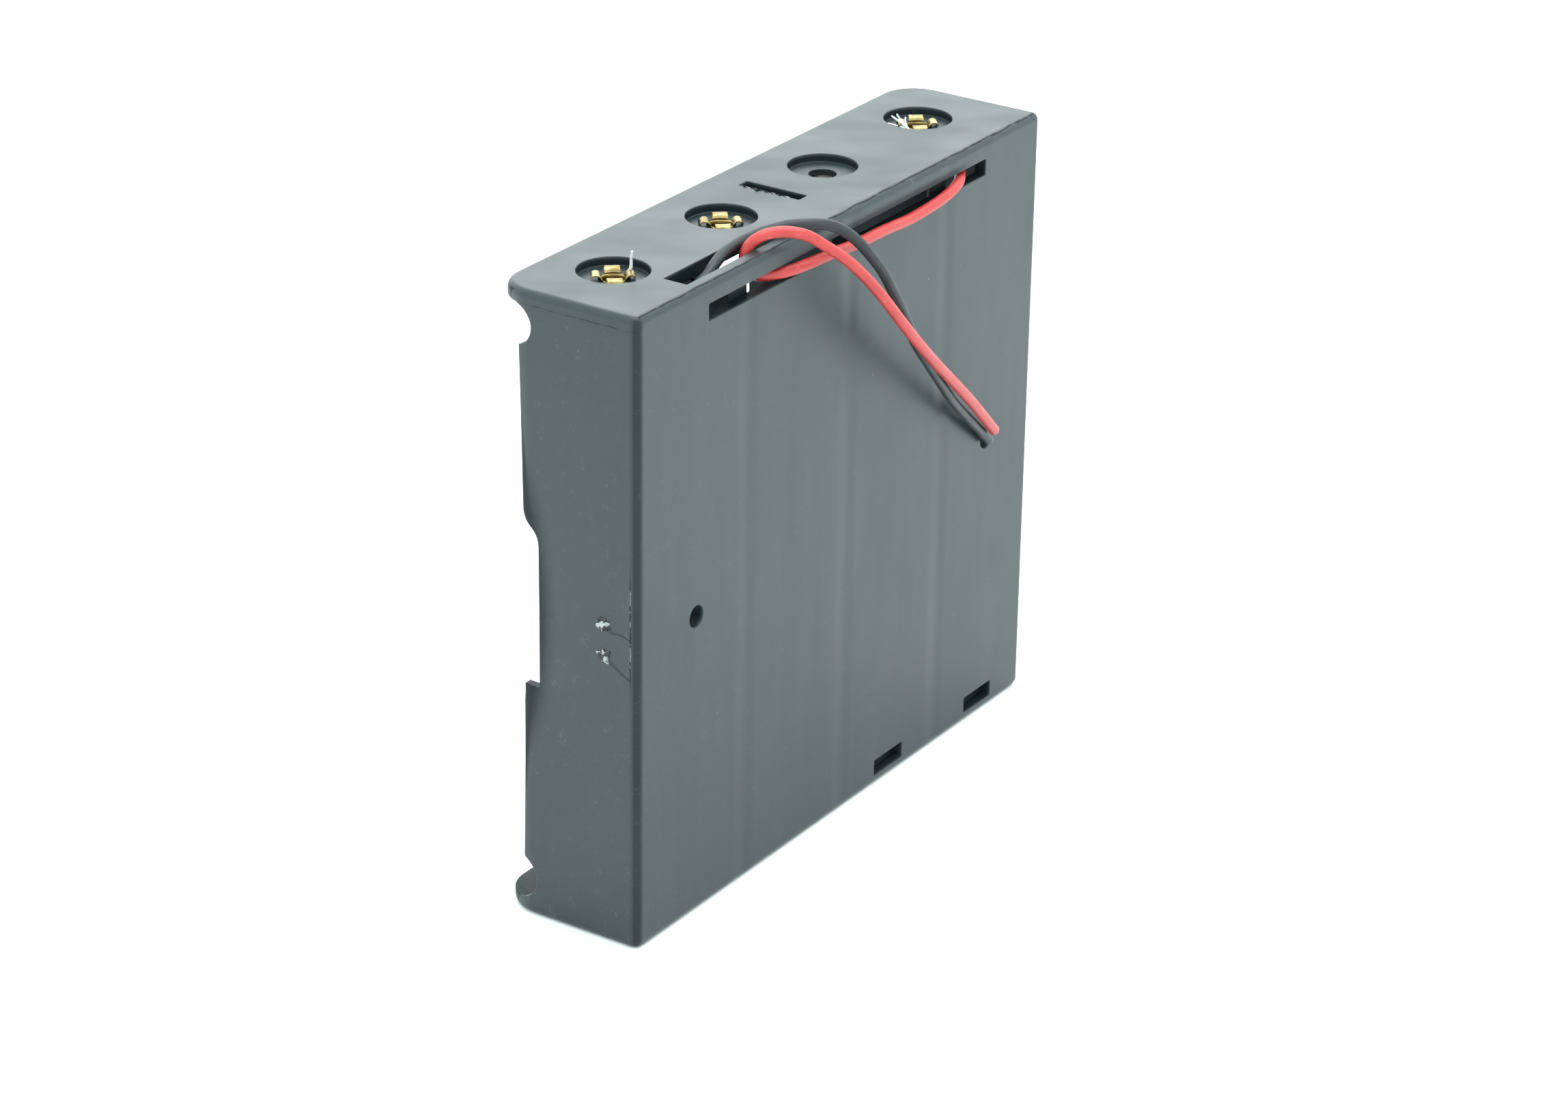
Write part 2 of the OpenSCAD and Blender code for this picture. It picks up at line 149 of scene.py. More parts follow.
def make_camera():
    azimuth, elevation = CAMERA_AZIMUTH, CAMERA_ELEVATION
    back = Vector((
        math.sin(azimuth) * math.cos(elevation),
        -math.cos(azimuth) * math.cos(elevation),
        math.sin(elevation),
    ))
    camera = bpy.data.objects.new("camera", bpy.data.cameras.new("camera"))
    camera.data.sensor_width = 36
    camera.data.lens = CAMERA_LENS_MM
    camera.location = CAMERA_AIM + back * CAMERA_DISTANCE
    camera.rotation_mode = "QUATERNION"
    upright = (-back).to_track_quat("-Z", "Y")
    camera.rotation_quaternion = upright @ Quaternion((0, 0, 1), CAMERA_ROLL)
    camera.data.clip_start = 0.01
    bpy.context.scene.collection.objects.link(camera)
    bpy.context.scene.camera = camera


def softbox(name, place, size, power):
    """Rectangular light of size metres and power watts that points at the holder's middle."""
    aim = Vector((0, 0, HEIGHT / 2))
    data = bpy.data.lights.new(name, "AREA")
    data.shape = "RECTANGLE"
    data.size, data.size_y = size
    data.energy = power
    light = bpy.data.objects.new(name, data)
    light.location = place
    light.rotation_euler = (aim - Vector(place)).to_track_quat("-Z", "Y").to_euler()
    bpy.context.scene.collection.objects.link(light)


def light_the_studio():
    """Even, slightly cool light from all round, with one softbox above and one far behind."""
    world = bpy.data.worlds.new("studio")
    world.use_nodes = True
    background = world.node_tree.nodes["Background"]
    background.inputs["Color"].default_value = (0.87, 1, 1.02, 1)
    background.inputs["Strength"].default_value = 2.1
    bpy.context.scene.world = world
    bpy.context.scene.view_settings.view_transform = "Standard"
    softbox("overhead_softbox", place=(-0.1, 0.1, 0.9), size=(0.6, 0.6), power=5)
    softbox("far_softbox", place=(-0.75, -0.5, 0.55), size=(0.9, 0.7), power=2.4)


# ---- materials ----


class Shader:
    """One material and short ways to add nodes to it. Lengths are in metres."""

    def __init__(self, name):
        self.material = bpy.data.materials.new(name)
        self.material.use_nodes = True
        self.tree = self.material.node_tree
        self.surface = self.tree.nodes["Principled BSDF"]
        self.place = self.tree.nodes.new("ShaderNodeTexCoord").outputs["Object"]
        self.x, self.y, self.z = self.split(self.place)

    def put(self, value, socket):
        """Links a node's output to the socket, or sets a constant on it."""
        if isinstance(value, bpy.types.NodeSocket):
            self.tree.links.new(value, socket)
        else:
            socket.default_value = value

    def split(self, vector):
        node = self.tree.nodes.new("ShaderNodeSeparateXYZ")
        self.put(vector, node.inputs[0])
        return node.outputs[0], node.outputs[1], node.outputs[2]

    def math(self, kind, *values):
        node = self.tree.nodes.new("ShaderNodeMath")
        node.operation = kind
        for value, socket in zip(values, node.inputs):
            self.put(value, socket)
        return node.outputs[0]

    def fade(self, value, start, end, low=0.0, high=1.0):
        """Low up to start, high from end, and smooth between them."""
        node = self.tree.nodes.new("ShaderNodeMapRange")
        node.interpolation_type = "SMOOTHSTEP"
        for amount, socket in zip((value, start, end, low, high), node.inputs):
            self.put(amount, socket)
        return node.outputs[0]

    def stretched(self, longer, turn=(0, 0, 0)):
        """Places in a frame that is turned and made longer along its axes."""
        node = self.tree.nodes.new("ShaderNodeMapping")
        node.vector_type = "TEXTURE"
        self.put(self.place, node.inputs["Vector"])
        node.inputs["Rotation"].default_value = turn
        node.inputs["Scale"].default_value = longer
        return node.outputs[0]

    def noise(self, per_metre, detail=2.0, vector=None):
        node = self.tree.nodes.new("ShaderNodeTexNoise")
        self.put(vector or self.place, node.inputs["Vector"])
        node.inputs["Scale"].default_value = per_metre
        node.inputs["Detail"].default_value = detail
        return node.outputs["Fac"]

    def cells(self, per_metre, vector=None):
        """Distance to the nearest cell's middle, and a random number for each cell."""
        node = self.tree.nodes.new("ShaderNodeTexVoronoi")
        self.put(vector or self.place, node.inputs["Vector"])
        node.inputs["Scale"].default_value = per_metre
        return node.outputs["Distance"], self.split(node.outputs["Color"])[0]

    def mix(self, amount, first, second):
        node = self.tree.nodes.new("ShaderNodeMix")
        node.data_type = "RGBA"
        self.put(amount, node.inputs[0])
        for colour, socket in ((first, node.inputs[6]), (second, node.inputs[7])):
            self.put(colour if isinstance(colour, bpy.types.NodeSocket) else (*colour, 1), socket)
        return node.outputs[2]

    def facing(self, axis):
        """How far the surface faces along +axis."""
        normal = self.tree.nodes.new("ShaderNodeNewGeometry").outputs["Normal"]
        return self.split(normal)["xyz".index(axis)]

    def bump(self, height, depth):
        """Raises the surface by height (0 to 1) times depth."""
        node = self.tree.nodes.new("ShaderNodeBump")
        node.inputs["Distance"].default_value = depth
        self.put(height, node.inputs["Height"])
        if self.surface.inputs["Normal"].is_linked:
            before = self.surface.inputs["Normal"].links[0].from_socket
            self.put(before, node.inputs["Normal"])
        self.put(node.outputs[0], self.surface.inputs["Normal"])

    def set(self, **values):
        names = {"colour": "Base Color", "roughness": "Roughness", "metallic": "Metallic",
                 "shine": "Specular IOR Level"}
        for key, value in values.items():
            self.put(value, self.surface.inputs[names.get(key, key)])
        return self


def flecks(shader, per_metre, turn, width):
    """Short thin marks, mostly along one direction."""
    line = shader.noise(per_metre, 1.0, shader.stretched((1, 1, 6), turn))
    thin = shader.fade(shader.math("ABSOLUTE", shader.math("SUBTRACT", line, 0.5)), 0, width, 1, 0)
    here = shader.fade(shader.noise(per_metre * 0.25, 1.0), 0.6, 0.68)
    return shader.math("MULTIPLY", thin, here)


def dust(shader, per_metre, size):
    """Small round specks in about a fifth of the cells."""
    distance, luck = shader.cells(per_metre)
    speck = shader.fade(distance, size * 0.5, size, 1, 0)
    return shader.math("MULTIPLY", speck, shader.fade(luck, 0.8, 0.82))


def sink_lines(shader):
    """Shallow grooves down the back, over the partitions."""
    lines = None
    for x in (-PITCH, 0, PITCH):
        away = shader.math("ABSOLUTE", shader.math("SUBTRACT", shader.x, x))
        line = shader.fade(away, 0, 2.2 * MM, 1, 0)
        lines = line if lines is None else shader.math("ADD", lines, line)
    return shader.math("MULTIPLY", lines, shader.fade(shader.facing("y"), 0.9, 0.97))


def wavy_line(shader, along, place, per_metre, wave, half_width):
    """Thin line where the coordinate is near the given place."""
    sway = shader.math("MULTIPLY", shader.math("SUBTRACT", shader.noise(per_metre, 3.0), 0.5), wave)
    away = shader.math("ADD", shader.math("SUBTRACT", along, place), sway)
    return shader.fade(shader.math("ABSOLUTE", away), half_width * 0.5, half_width, 1, 0)


def seams(shader):
    """Faint lines where the mould closed, across the outer sides and down their back edges."""
    broken = shader.fade(shader.noise(700, 3.0), 0.4, 0.6, 0.15, 1)
    off_middle = shader.math("ABSOLUTE", shader.x)
    on_side = shader.fade(off_middle, WIDTH / 2 - 0.4 * MM, WIDTH / 2 - 0.3 * MM)
    across = wavy_line(shader, shader.z, HEIGHT - 1.55 * MM, 400, 0.3 * MM, 0.09 * MM)
    across = shader.math("MULTIPLY", shader.math("MULTIPLY", across, on_side), broken)
    down = wavy_line(shader, shader.y, BACK_Y - 1.02 * MM, 900, 0.16 * MM, 0.07 * MM)
    down = shader.math("MULTIPLY", down, on_side)
    from_flash = shader.math("ABSOLUTE", shader.math("SUBTRACT", shader.z, HEIGHT * 0.52))
    down = shader.math("MULTIPLY", down, shader.fade(from_flash, 4 * MM, 8 * MM, 1, 0.3))
    return shader.math("MAXIMUM", shader.math("MULTIPLY", across, 0.5), down)


def between(shader, value, low, high, soft):
    """1 between low and high, and 0 further out than soft from them."""
    rising = shader.fade(value, low - soft, low)
    return shader.math("MULTIPLY", rising, shader.fade(value, high, high + soft, 1, 0))


def painted_shade_at_edges(shader):
    """Mask of painted shade round the +X back corner and along the slot's rail, where the skin is
    darkened and made less shiny.
    """
    from_side = shader.math("SUBTRACT", WIDTH / 2, shader.x)
    from_back = shader.math("SUBTRACT", BACK_Y, shader.y)
    at_side = shader.fade(from_side, 0.4 * MM, 1.5 * MM, 0.55, 0)
    at_back = shader.fade(from_back, 0.5 * MM, 1.1 * MM, 1, 0)
    corner = shader.math("MULTIPLY", at_side, at_back)
    upright = between(shader, shader.z, HEIGHT - 2.5 * MM, HEIGHT - 2 * MM, 0.9 * MM)
    level = between(shader, shader.x, -22 * MM, 4 * MM, 6 * MM)
    rail = shader.math("MULTIPLY", upright, level)
    rail = shader.math("MULTIPLY", rail, shader.fade(shader.facing("y"), 0.5, 0.9, 0, 0.7))
    return shader.math("MAXIMUM", corner, rail)


def inside(shader):
    """1 on the walls of the bays, pockets and slots, which get painted shade: a darker colour and less
    shine.
    """
    from_middle = shader.math("ABSOLUTE", shader.x)
    across = shader.fade(from_middle, WIDTH / 2 - 0.7 * MM, WIDTH / 2 - 0.5 * MM, 1, 0)
    deep = shader.fade(shader.y, BACK_Y - 0.5 * MM, BACK_Y - 0.2 * MM, 1, 0)
    low = between(shader, shader.z, 0.4 * MM, HEIGHT - 0.4 * MM, 0.2 * MM)
    walls = shader.math("MULTIPLY", shader.math("MULTIPLY", across, deep), low)
    upward = shader.fade(shader.facing("z"), 0.5, 0.9)
    near_top = shader.fade(shader.z, HEIGHT - 3 * MM, HEIGHT - 2 * MM)
    top_face = shader.math("MULTIPLY", upward, near_top)
    return shader.math("MULTIPLY", walls, shader.math("SUBTRACT", 1, top_face))


def housing_plastic():
    """Satin black plastic with scratches, dust, mould seams and gently uneven faces, and painted shade
    at the back corner, along the rail and on the recess walls.
    """
    shader = Shader("black_moulded_plastic")
    cloud = shader.noise(60, 4.0)
    marks = shader.math("MAXIMUM", flecks(shader, 2600, (0.5, 0.3, 0), 0.02),
                        flecks(shader, 3100, (1.7, 0.4, 0.8), 0.016))
    specks = dust(shader, 420, 0.035)
    lines = seams(shader)
    colour = shader.mix(shader.fade(cloud, 0.35, 0.65), (0.01, 0.018, 0.02), (0.014, 0.023, 0.025))
    colour = shader.mix(shader.math("MULTIPLY", marks, 0.3), colour, (0.14, 0.16, 0.16))
    colour = shader.mix(shader.math("MULTIPLY", specks, 0.6), colour, (0.3, 0.3, 0.29))
    # Painted shade: the back corner, the rail and the recess walls get a darker colour and less shine.
    dull_and_dark = painted_shade_at_edges(shader)
    dull_and_dark = shader.math("MAXIMUM", dull_and_dark, shader.math("MULTIPLY", inside(shader), 0.75))
    colour = shader.mix(shader.math("MULTIPLY", dull_and_dark, 0.7), colour, (0.005, 0.007, 0.009))
    colour = shader.mix(lines, colour, (0.002, 0.002, 0.003))
    rough = shader.fade(cloud, 0.3, 0.7, 0.36, 0.44)
    rough = shader.math("ADD", rough, shader.math("MULTIPLY", marks, 0.15))
    dark = shader.math("MAXIMUM", lines, dull_and_dark)
    shader.set(colour=colour, roughness=rough, shine=shader.fade(dark, 0, 1, 0.5, 0.05))
    on_top = shader.fade(shader.facing("z"), 0.9, 0.97)
    flow = shader.noise(95, 1.0, shader.stretched((1, 1.6, 1), (0, 0, 0.5)))
    shader.bump(shader.math("MULTIPLY", flow, on_top), 0.9 * MM)
    shader.bump(sink_lines(shader), -0.06 * MM)
    shader.bump(shader.noise(110, 2.0, shader.stretched((1, 1, 5))), 0.16 * MM)
    shader.bump(shader.noise(9000, 2.0), 0.004 * MM)
    shader.bump(lines, -0.06 * MM)
    return shader.material


def torn_plastic():
    """The same plastic where it broke off or squeezed out of the mould: rough, with pale patches
    painted in as highlights.
    """
    shader = Shader("torn_black_plastic")
    crumb = shader.noise(1000, 2.0)
    # The pale patches are painted highlights on the torn facets.
    colour = shader.mix(shader.fade(crumb, 0.5, 0.55), (0.004, 0.005, 0.006), (0.34, 0.35, 0.34))
    shader.set(colour=colour, roughness=shader.fade(crumb, 0.3, 0.7, 0.25, 0.5))
    shader.bump(shader.noise(2500, 4.0), 0.12 * MM)
    return shader.material


def crack_shadow():
    """The darkness inside a thin crack."""
    shader = Shader("dark_crack")
    crumb = shader.noise(3000, 3.0)
    shader.set(colour=shader.mix(crumb, (0.004, 0.004, 0.005), (0.02, 0.022, 0.024)), roughness=0.7)
    return shader.material


def metal(name, bright, dull_and_dark, stain, rough, per_metre=700, metallic=1.0):
    """Thin metal: cloudy, with drawn lines and small stains. per_metre sets the clouds' size."""
    shader = Shader(name)
    cloud = shader.noise(per_metre, 4.0)
    drawn = shader.noise(per_metre * 6, 2.0, shader.stretched((1, 1, 12)))
    colour = shader.mix(shader.fade(cloud, 0.35, 0.7), bright, dull_and_dark)
    colour = shader.mix(shader.fade(shader.noise(per_metre * 2.3, 5.0), 0.64, 0.8), colour, stain)
    rough_here = shader.fade(shader.math("ADD", cloud, shader.math("MULTIPLY", drawn, 0.4)), 0.4, 1.0,
                             rough * 0.75, rough * 1.5)
    shader.set(colour=colour, roughness=rough_here, metallic=metallic)
    shader.bump(drawn, 0.006 * MM)
    shader.bump(cloud, 0.015 * MM)
    return shader.material


def insulation(name, colour, pale, dusty, shine):
    """Extruded insulation: smooth, slightly wavy, with pale scuffs and a few specks."""
    shader = Shader(name)
    wave = shader.noise(350, 2.0)
    scuff = shader.fade(shader.noise(1500, 4.0), 0.58, 0.75)
    mixed = shader.mix(shader.fade(wave, 0.3, 0.7), colour, pale)
    mixed = shader.mix(shader.math("MULTIPLY", scuff, 0.25), mixed, dusty)
    mixed = shader.mix(shader.math("MULTIPLY", dust(shader, 900, 0.05), 0.6), mixed, (0.7, 0.68, 0.66))
    shader.set(colour=mixed, roughness=shader.fade(wave, 0.3, 0.7, 0.36, 0.48), shine=shine)
    shader.bump(wave, 0.04 * MM)
    shader.bump(shader.noise(6000, 2.0), 0.004 * MM)
    return shader.material


def floor_paper():
    shader = Shader("white_floor")
    fibre = shader.noise(400, 4.0)
    shader.set(colour=shader.mix(fibre, (0.86, 0.87, 0.87), (0.9, 0.9, 0.9)), roughness=0.35)
    shader.bump(fibre, 0.01 * MM)
    return shader.material


# ---- mesh tools ----


def finish_piece(name, bm, material, replaces=(), body="holder"):
    """Turns the mesh into a visible piece that rides on a body and replaces CAD nodes."""
    mesh = bpy.data.meshes.new(name)
    bm.normal_update()
    bm.to_mesh(mesh)
    bm.free()
    for face in mesh.polygons:
        face.use_smooth = True
    mesh.materials.append(material)
    piece = bpy.data.objects.new(name, mesh)
    bpy.context.scene.collection.objects.link(piece)
    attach(piece, body)
    if replaces:
        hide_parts(*replaces)
    return piece


def smooth_route(points, steps):
    """Points on the smooth curve through the given points."""
    points = [Vector(p) for p in points]
    last = len(points) - 1
    made = []
    for i in range(last):
        a, b = points[max(i - 1, 0)], points[i]
        c, d = points[i + 1], points[min(i + 2, last)]
        for k in range(steps):
            t = k / steps
            made.append(
                b + (c - a) * t / 2
                + (2 * a - 5 * b + 4 * c - d) * t * t / 2
                + (3 * b - a - 3 * c + d) * t * t * t / 2
            )
    return made + [points[last]]


def add_tube(bm, centres, radii, sides):
    """Round tube with one radius for each centre, closed at both ends."""
    side = Vector((0.3, 0.5, 0.8))
    rings = []
    for i, centre in enumerate(centres):
        ahead = centres[min(i + 1, len(centres) - 1)] - centres[max(i - 1, 0)]
        side = (side - side.project(ahead)).normalized()
        other = ahead.normalized().cross(side)
        ring = []
        for k in range(sides):
            turn = math.tau * k / sides
            out = side * math.cos(turn) + other * math.sin(turn)
            ring.append(bm.verts.new(centre + out * radii[i]))
        rings.append(ring)
    for near, far in zip(rings, rings[1:]):
        for k in range(sides):
            j = (k + 1) % sides
            bm.faces.new((near[k], near[j], far[j], far[k]))
    bm.faces.new(rings[0][::-1])
    bm.faces.new(rings[-1])


def rounded_end(centres, radius):
    """The same middle line with a rounded cut end, and the radius at each of its points."""
    way = (centres[-1] - centres[-2]).normalized()
    kept = []
    for place in centres:
        to_end = centres[-1] - place
        if to_end.length > 0.6 * radius or to_end.dot(way) < 0:
            kept.append(place)
    # How far back from the end, and how wide, both as shares of the radius.
    bends = [(0.5, 1.0), (0.3, 0.96), (0.12, 0.84), (0.03, 0.66), (0, 0.4)]
    end = [centres[-1] - way * radius * back for back, _ in bends]
    return kept + end, [radius] * len(kept) + [radius * share for _, share in bends]


# ---- leads ----


def make_lead(name, route, material, strands):
    """Insulated lead along its route, with a plain rounded end."""
    line = smooth_route(route, 6)
    centres, radii = rounded_end(line, LEAD_DIAMETER / 2)
    bm = bmesh.new()
    add_tube(bm, centres, radii, 20)
    lead = finish_piece(name, bm, material, [name.replace("_insulation", "")])


def make_negative_strand(tinned):
    """Twisted bare end that stands up through the eyelet and tapers to its tip."""
    line = smooth_route(BLACK_STRAND_ROUTE, 6)
    radii = [STRAND_R * min(1, 0.4 + (len(line) - i) / 40) for i in range(len(line))]
    bm = bmesh.new()
    add_tube(bm, line, radii, 10)
    return finish_piece("negative_strand", bm, tinned, ["black_lead_bare_strands"])


def make_positive_strands(tinned):
    """Bare end that fans out into loose strands over the eyelet."""
    line = smooth_route(RED_STRAND_ROUTE, 6)
    bm = bmesh.new()
    add_tube(bm, line, [STRAND_R] * len(line), 10)
    for tip in RED_STRAND_TIPS:
        line = smooth_route([RED_STRAND_ROUTE[-1], *tip], 8)
        add_tube(bm, line, [LOOSE_STRAND_R * (1 - 0.5 * i / len(line)) for i in range(len(line))], 8)
    return finish_piece("positive_strands", bm, tinned, ["red_lead_bare_strands"])


def make_leads():
    tinned = metal("tinned_copper", (0.92, 0.92, 0.9), (0.84, 0.83, 0.8), (0.7, 0.66, 0.6), 0.35,
                   metallic=0.3)
    black = insulation("black_insulation", (0.012, 0.014, 0.015), (0.02, 0.023, 0.025),
                       (0.08, 0.08, 0.08), shine=0.4)
    red = insulation("red_insulation", (0.38, 0.02, 0.018), (0.44, 0.034, 0.03),
                     (0.55, 0.17, 0.15), shine=0.5)
    make_lead("black_lead_insulation", BLACK_ROUTE, black,
              make_negative_strand(tinned))
    make_lead("red_lead_insulation", RED_ROUTE, red,
              make_positive_strands(tinned))


# ---- housing ----


# Points this near each other are one point, and corners this near a level are on it.
SAME_PLACE = 0.002 * MM
ON_LEVEL = 0.02 * MM
# An edge belongs to a wall, hole or corner up to this far past its nominal size.
SLACK = 0.1 * MM
EDGE_ROUNDING = 0.12 * MM
END_ROUNDING = 0.9 * MM
BOW = 1.05 * MM


def cut_through(bm, place, normal, snap):
    """Cuts every face that the plane crosses, and gives back the edges of the cut."""
    everything = bm.verts[:] + bm.edges[:] + bm.faces[:]
    cut = bmesh.ops.bisect_plane(bm, geom=everything, plane_co=place, plane_no=normal, dist=snap)
    return [part for part in cut["geom_cut"] if isinstance(part, bmesh.types.BMEdge)]


def joined_copy(node, cuts=()):
    """The CAD node's mesh with its flat faces joined up again, but not across a cut at x.

    A cut through each hole lets the faces beside it join up with no slanting edge left over.
    """
    bm = bmesh.new()
    bm.from_mesh(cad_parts[node].data)
    bmesh.ops.remove_doubles(bm, verts=bm.verts, dist=SAME_PLACE)
    for x in cuts:
        for edge in cut_through(bm, (x, 0, 0), (1, 0, 0), SAME_PLACE):
            edge.seam = True
    bmesh.ops.dissolve_limit(bm, angle_limit=math.radians(0.6), verts=bm.verts, edges=bm.edges,
                             delimit={"SEAM"})
    return bm


def mark_edges(bm, roundness):
    """Gives each sharp edge the rounding for its middle; an edge with none stays sharp."""
    weight = bm.edges.layers.float.new("bevel_weight_edge")
    for edge in bm.edges:
        if len(edge.link_faces) != 2 or edge.calc_face_angle(0) < math.radians(35):
            continue
        spot = (edge.verts[0].co + edge.verts[1].co) / 2
        edge[weight] = roundness(spot) / MM
        edge.smooth = edge[weight] > 0


def round_edges(piece, segments=4):
    """Rounds each edge by its weight times 1 mm."""
    bevel = piece.modifiers.new("rounded_edges", "BEVEL")
    bevel.limit_method = "WEIGHT"
    bevel.width = 1 * MM
    bevel.segments = segments
    bevel.use_clamp_overlap = False
    bevel.miter_outer = "MITER_ARC"
    normals = piece.modifiers.new("even_normals", "WEIGHTED_NORMAL")
    normals.keep_sharp = True


def on_outline(spot):
    """True on an end face's own outline, and false round the pockets and slots in it."""
    at_side = abs(spot.x) > WIDTH / 2 - FRONT_CORNER_R - 2 * SLACK
    at_back = spot.y > BACK_Y - BACK_CORNER_R - SLACK
    at_front = spot.y < housing_low.y + SLACK
    return at_side or at_back or at_front


def housing_roundness(spot):
    """Most at the end faces' outlines, and none where thin ribs and steps leave no room."""
    from_end = min(spot.z, HEIGHT - spot.z)
    in_end_wall = from_end < END_WALL + SLACK
    on_end_face = from_end < ON_LEVEL / 2
    from_cell_axis = min(math.hypot(spot.x - x, spot.y - CELL_Y) for x in CELL_X)
    in_pocket = TERMINAL_HOLE_R + SLACK < from_cell_axis < POCKET_R - SLACK
    near_bay_floor = abs(spot.y - BAY_FLOOR_Y) < BACK_WALL / 3
    if on_end_face and on_outline(spot):
        return END_ROUNDING
    if (in_end_wall and in_pocket) or (near_bay_floor and not in_end_wall):
        return 0
    return EDGE_ROUNDING


def bow_side_walls(bm):
    """The free front edges of the two outer side walls lean in at half their height."""
    for vert in bm.verts:
        past_wall = WIDTH / 2 - abs(vert.co.x) - SIDE_WALL - SLACK
        share = 1 - min(1, max(0, past_wall / SIDE_WALL))
        forward = (BACK_Y - vert.co.y) / DEPTH
        lean = BOW * math.sin(math.pi * vert.co.z / HEIGHT) * forward ** 1.3
        vert.co.x -= math.copysign(lean * share, vert.co.x)


def make_housing(plastic):
    """The moulding with rounded edges, cut into levels so that its side walls can bow."""
    bm = joined_copy("housing", [*CELL_X, 0])
    levels = 20
    for level in range(1, levels):
        cut_through(bm, (0, 0, HEIGHT * level / levels), (0, 0, 1), ON_LEVEL)
    mark_edges(bm, housing_roundness)
    bow_side_walls(bm)
    round_edges(finish_piece("moulded_housing", bm, plastic, ["housing"]))


def make_gate_mark(name, z_mm, torn):
    """Torn lump on the +X side, where the plastic was fed in. Its height varies the noise."""
    middle_at = Vector((WIDTH / 2 - 0.2 * MM, 5 * MM, z_mm * MM))
    bm = bmesh.new()
    bmesh.ops.create_icosphere(bm, subdivisions=4, radius=1)
    for vert in bm.verts:
        lump = 1 + 0.35 * noise.noise(vert.co * 1.6 + Vector((z_mm, 0, 0)))
        crease = abs(noise.noise(vert.co * 2.2 + Vector((0, z_mm, 0))))
        out = vert.co * lump * (0.75 + 0.9 * crease)
        vert.co = middle_at + Vector((out.x * 0.34, out.y * 0.85, out.z * 0.75)) * MM
    finish_piece(name, bm, torn)


def make_crack(name, points_mm, dark):
    """Thin dark line half sunk into the plastic, narrower towards its end."""
    line = smooth_route([Vector(point) * MM for point in points_mm], 6)
    radii = [0.045 * MM * (1 - 0.6 * i / len(line)) for i in range(len(line))]
    bm = bmesh.new()
    add_tube(bm, line, radii, 6)
    finish_piece(name, bm, dark)


def make_all_cracks(dark):
    """Two cracks out of the gate marks, and one on the bottom end's front lip."""
    side = WIDTH / 2 / MM
    lip = END_WALL / MM
    make_crack("upper_gate_crack",
               [(side, 5.4, 38.9), (side, 6.3, 38.5), (side, 7.4, 38.6), (side, 8.6, 38.3)], dark)
    make_crack("lower_gate_crack",
               [(side, 5.5, 35), (side, 6.2, 34.7), (side, 7.6, 33.9), (side, 8.7, 33.4)], dark)
    make_crack("lip_crack", [(39.5, -8.2, lip), (39.9, -7.2, lip), (40.3, -6, lip)], dark)


def make_top_seam(dark):
    """Ragged line along the rounded back edge of the top face, where the mould closed."""
    half = WIDTH / 2 - END_ROUNDING
    steps = 260
    points, wide = [], []
    for i in range(steps + 1):
        x = -half + 2 * half * i / steps
        sway = noise.noise(Vector((x / MM * 0.35, 0, 0)))
        sway += 0.4 * noise.noise(Vector((x / MM * 1.7, 5, 0)))
        tilt = math.radians(24 + 9 * sway)
        reach = END_ROUNDING - 0.02 * MM
        points.append(Vector((x, BACK_Y - END_ROUNDING + reach * math.sin(tilt),
                              HEIGHT - END_ROUNDING + reach * math.cos(tilt))))
        wide.append(0.1 * MM * max(0.45, 1 + noise.noise(Vector((x / MM * 0.9, 0, 7)))))
    bm = bmesh.new()
    add_tube(bm, points, wide, 6)
    finish_piece("top_seam", bm, dark)


def make_flash(name, start, end, out, torn):
    """Thin ragged skin of plastic that stands off an edge from start to end, towards out."""
    start, end, out = Vector(start), Vector(end), Vector(out)
    thickness = 0.03 * MM * (end - start).normalized().cross(out).normalized()
    steps = 90
    bm = bmesh.new()
    rings = []
    for i in range(steps + 1):
        t = i / steps
        root = start.lerp(end, t)
        ragged = 0.5 + 1.3 * noise.noise(Vector((t * 7, 1, 0)))
        ragged += 0.7 * noise.noise(Vector((t * 23, 4, 0)))
        fading = min(1, 6 * t, 6 * (1 - t))
        tip = root + out * max(0.08, ragged) * fading
        tip += thickness * 3 * noise.noise(Vector((t * 15, 9, 0)))
        ring = [root - thickness, root + thickness, tip + thickness / 3, tip - thickness / 3]
        rings.append([bm.verts.new(place) for place in ring])
    for near, far in zip(rings, rings[1:]):
        for k in range(4):
            j = (k + 1) % 4
            bm.faces.new((near[k], near[j], far[j], far[k]))
    bm.faces.new(rings[0][::-1])
    bm.faces.new(rings[-1])
    bmesh.ops.recalc_face_normals(bm, faces=bm.faces)
    finish_piece(name, bm, torn)


def make_all_flash(torn):
    """One skin on the +X edge of the top bridge slot, and one up part of the +X back edge."""
    slot_x, slot_front, slot_back = 0.72 * MM, -4.9 * MM, 1.8 * MM
    rim = HEIGHT - 0.05 * MM
    make_flash("bridge_slot_flash", (slot_x, slot_front, rim), (slot_x, slot_back, rim),
               (0.42 * MM, 0, 0.25 * MM), torn)
    edge = (WIDTH / 2 - 0.02 * MM, BACK_Y - BACK_CORNER_R)
    make_flash("side_edge_flash", (*edge, 35 * MM), (*edge, 44.5 * MM), (0.07 * MM, 0.05 * MM, 0), torn)


# ---- contacts ----


PLATE_ROUNDING = 0.06 * MM


def make_plates(steel):
    """Sheet contacts with slightly rounded edges."""
    for node in PLATES:
        bm = joined_copy(node)
        mark_edges(bm, lambda spot: PLATE_ROUNDING)
        piece = finish_piece(node.replace("plate", "sheet"), bm, steel, [node])
        round_edges(piece, 2)


BORE_R = 1.31 * MM
EYELET_WALL = 0.25 * MM
FLANGE_R = 2.5 * MM
PETAL_R = 0.62 * MM
PETAL_WIDTH = 1.9 * MM


